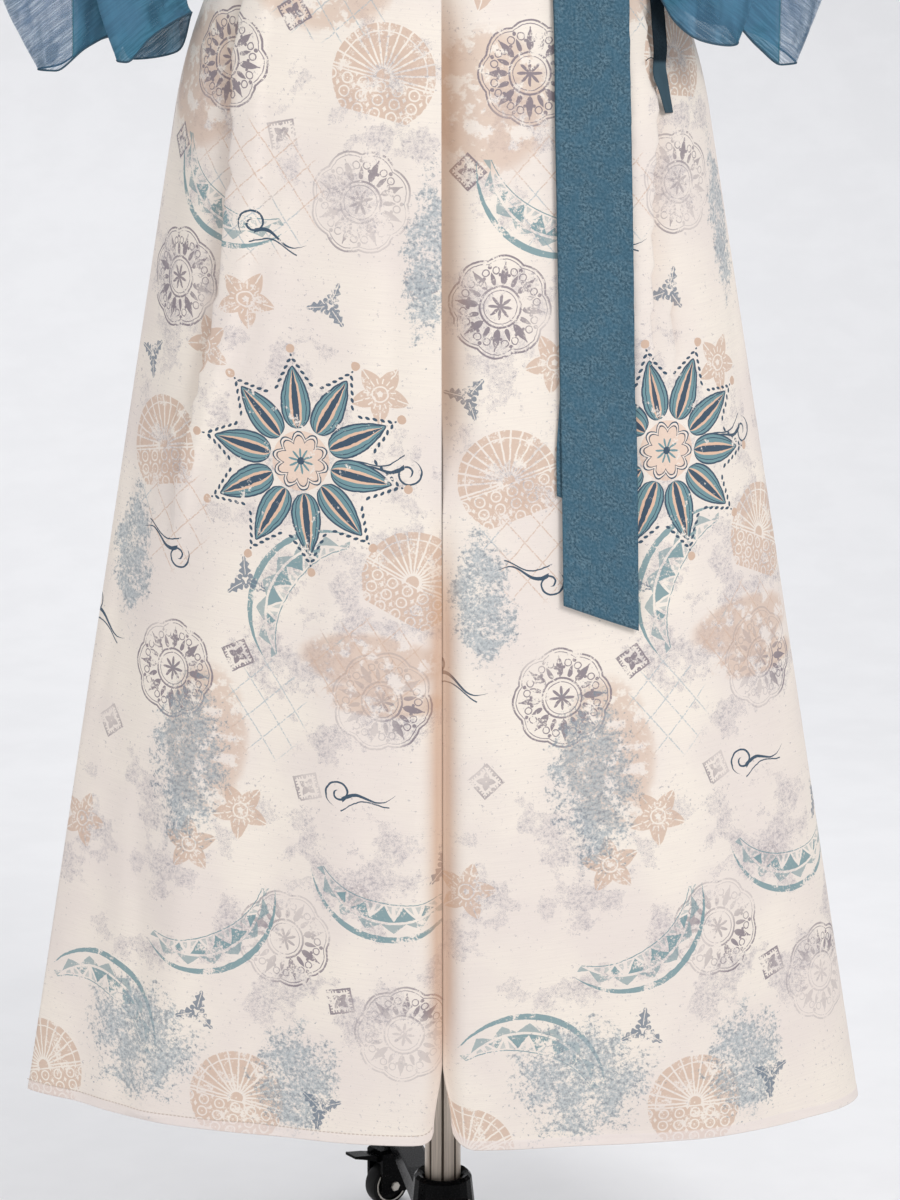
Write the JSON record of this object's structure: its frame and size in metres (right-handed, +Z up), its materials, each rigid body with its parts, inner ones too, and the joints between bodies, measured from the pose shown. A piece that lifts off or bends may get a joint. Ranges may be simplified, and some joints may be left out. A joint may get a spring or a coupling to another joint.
{
  "type": "hanfu skirt set on a limbless dress form",
  "caption": "Printed wrap skirt with a front opening, chiffon jacket with flared sleeves, sash and narrow tie, worn by a limbless dress form on a wheeled stand.",
  "frame": {"origin": "on the floor, under the middle of the stand's pole", "axes": "+Z up, -Y the front, +X to the right as seen from the front"},
  "size_m": [0.6845, 0.5162, 1.7143],
  "materials": {
    "printed_cloth": "matte print",
    "jacquard": "fine crepe",
    "chiffon": "sheer crinkle",
    "form_cover": "smooth jersey",
    "cap_wood": "dark varnish",
    "fluted_steel": "fluted",
    "zinc": "plated",
    "plastic": "black",
    "tread": "satin black"
  },
  "bodies": {
    "set": {"skirt_left_front": "printed_cloth", "skirt_right_front": "printed_cloth", "skirt_left_back": "printed_cloth", "skirt_right_back": "printed_cloth", "skirt_waistband": "printed_cloth", "sash_wrap": "jacquard", "sash_knot": "jacquard", "sash_tail": "jacquard", "sash_tail_under": "jacquard", "jacket_collar": "jacquard", "waist_tie": "chiffon", "jacket_left_front": "chiffon", "jacket_right_front": "chiffon", "jacket_back": "chiffon", "sleeve_left": "chiffon", "sleeve_right": "chiffon", "form_torso": "form_cover", "form_neck_cap": "cap_wood", "stand_pole": "fluted_steel", "stand_clamp_screw": "zinc", "stand_hub": "plastic", "stand_leg_0": "plastic", "stand_leg_1": "plastic", "stand_leg_2": "plastic", "stand_leg_3": "plastic"},
    "fork_0": {"caster_0_fork": "plastic", "caster_0_brake": "plastic"},
    "wheel_0": {"caster_0_wheel": "tread"},
    "fork_1": {"caster_1_fork": "plastic", "caster_1_brake": "plastic"},
    "wheel_1": {"caster_1_wheel": "tread"},
    "fork_2": {"caster_2_fork": "plastic", "caster_2_brake": "plastic"},
    "wheel_2": {"caster_2_wheel": "tread"},
    "fork_3": {"caster_3_fork": "plastic", "caster_3_brake": "plastic"},
    "wheel_3": {"caster_3_wheel": "tread"}
  },
  "joints": [
    {"name": "swivel_0", "type": "hinge", "parent": "set", "child": "fork_0", "pos_m": [-0.04077, 0.24361, 0.055], "axis": [0, 0, 1], "continuous": true},
    {"name": "roll_0", "type": "hinge", "parent": "fork_0", "child": "wheel_0", "pos_m": [-0.05117, 0.23581, 0.02], "axis": [-0.6, 0.8, 0], "continuous": true},
    {"name": "swivel_1", "type": "hinge", "parent": "set", "child": "fork_1", "pos_m": [-0.24361, -0.04077, 0.055], "axis": [0, 0, 1], "continuous": true},
    {"name": "roll_1", "type": "hinge", "parent": "fork_1", "child": "wheel_1", "pos_m": [-0.23581, -0.05117, 0.02], "axis": [-0.8, -0.6, 0], "continuous": true},
    {"name": "swivel_2", "type": "hinge", "parent": "set", "child": "fork_2", "pos_m": [0.04077, -0.24361, 0.055], "axis": [0, 0, 1], "continuous": true},
    {"name": "roll_2", "type": "hinge", "parent": "fork_2", "child": "wheel_2", "pos_m": [0.05117, -0.23581, 0.02], "axis": [0.6, -0.8, 0], "continuous": true},
    {"name": "swivel_3", "type": "hinge", "parent": "set", "child": "fork_3", "pos_m": [0.24361, 0.04077, 0.055], "axis": [0, 0, 1], "continuous": true},
    {"name": "roll_3", "type": "hinge", "parent": "fork_3", "child": "wheel_3", "pos_m": [0.23581, 0.05117, 0.02], "axis": [0.8, 0.6, 0], "continuous": true}
  ]
}
